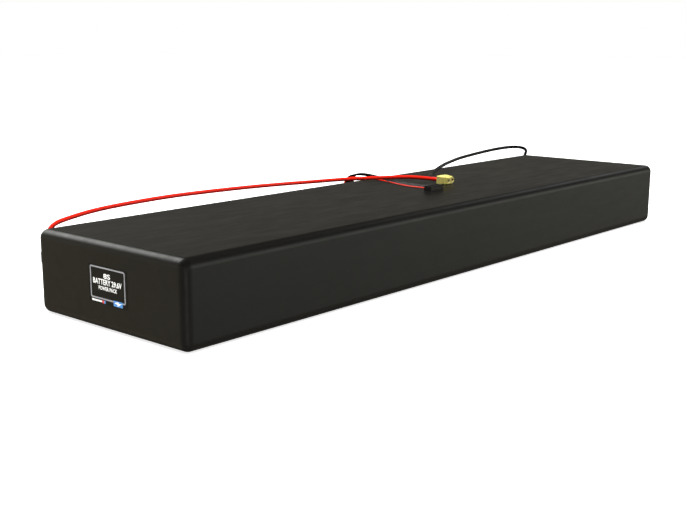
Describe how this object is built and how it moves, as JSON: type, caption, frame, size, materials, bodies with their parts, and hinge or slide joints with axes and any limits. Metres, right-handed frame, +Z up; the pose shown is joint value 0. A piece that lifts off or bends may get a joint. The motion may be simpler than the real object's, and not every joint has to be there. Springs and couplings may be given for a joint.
{
  "type": "battery pack",
  "caption": "Long flat lithium battery pack in black shrink film, with a red and a black silicone lead to a yellow two pole connector and a balance harness to a black plug.",
  "frame": {"origin": "under the middle of the pack, on the plane it lies on", "axes": "+X along the pack's length, away from the rating label; +Y to the side the leads leave; +Z up through its thickness"},
  "size_m": [0.8769, 0.2394, 0.0935],
  "materials": {
    "black_film": "satin black heat-shrink film",
    "label_film": "printed black label",
    "foam": "closed cell foam sheet",
    "glass_fibre": "glass fibre laminate",
    "barley_paper": "insulation paper",
    "pouch_foil": "laminated pouch foil",
    "aluminium_tab": "bare aluminium tab",
    "nickel": "nickel plated copper",
    "copper": "copper bar",
    "red_silicone": "satin silicone insulation",
    "black_silicone": "satin silicone insulation",
    "boot_rubber": "moulded rubber",
    "yellow_nylon": "moulded nylon",
    "gold_plate": "gold plated brass",
    "black_nylon": "moulded nylon"
  },
  "bodies": {
    "root": {"balance_collector_board": "glass_fibre", "balance_link_bars": "nickel", "balance_plug_contacts": "gold_plate", "balance_plug_housing": "black_nylon", "balance_tails": "black_silicone", "balance_wire_1": "red_silicone", "balance_wire_2": "black_silicone", "balance_wire_3": "black_silicone", "balance_wire_4": "black_silicone", "balance_wire_5": "black_silicone", "balance_wire_6": "black_silicone", "balance_wire_7": "black_silicone", "balance_wire_8": "black_silicone", "balance_wire_9": "black_silicone", "balance_wire_boot": "boot_rubber", "busbar_insulator": "barley_paper", "cell_column_1": "pouch_foil", "cell_column_2": "pouch_foil", "cell_column_3": "pouch_foil", "cell_column_4": "pouch_foil", "cell_column_5": "pouch_foil", "cell_column_6": "pouch_foil", "cell_column_7": "pouch_foil", "cell_column_8": "pouch_foil", "cell_column_9": "pouch_foil", "cell_pads": "foam", "column_separators": "barley_paper", "connector_cap": "yellow_nylon", "connector_housing": "yellow_nylon", "end_cap_far_side": "black_film", "end_cap_label_side": "black_film", "end_plate_far_end": "glass_fibre", "end_plate_label_end": "glass_fibre", "foam_pad_far_end": "foam", "foam_pad_label_end": "foam", "foam_sheet_back": "foam", "foam_sheet_bottom": "foam", "foam_sheet_front": "foam", "foam_sheet_top": "foam", "negative_busbar": "copper", "negative_lead": "black_silicone", "negative_lead_boot": "boot_rubber", "negative_lead_tail": "black_silicone", "negative_socket": "gold_plate", "negative_tabs": "nickel", "positive_busbar": "copper", "positive_lead": "red_silicone", "positive_lead_boot": "boot_rubber", "positive_lead_tail": "red_silicone", "positive_socket": "gold_plate", "positive_tabs": "aluminium_tab", "rating_label": "label_film", "series_link_plates": "nickel", "shrink_sleeve": "black_film", "stiffener_plate_bottom": "glass_fibre", "stiffener_plate_top": "glass_fibre", "tab_boards": "glass_fibre"}
  },
  "joints": []
}
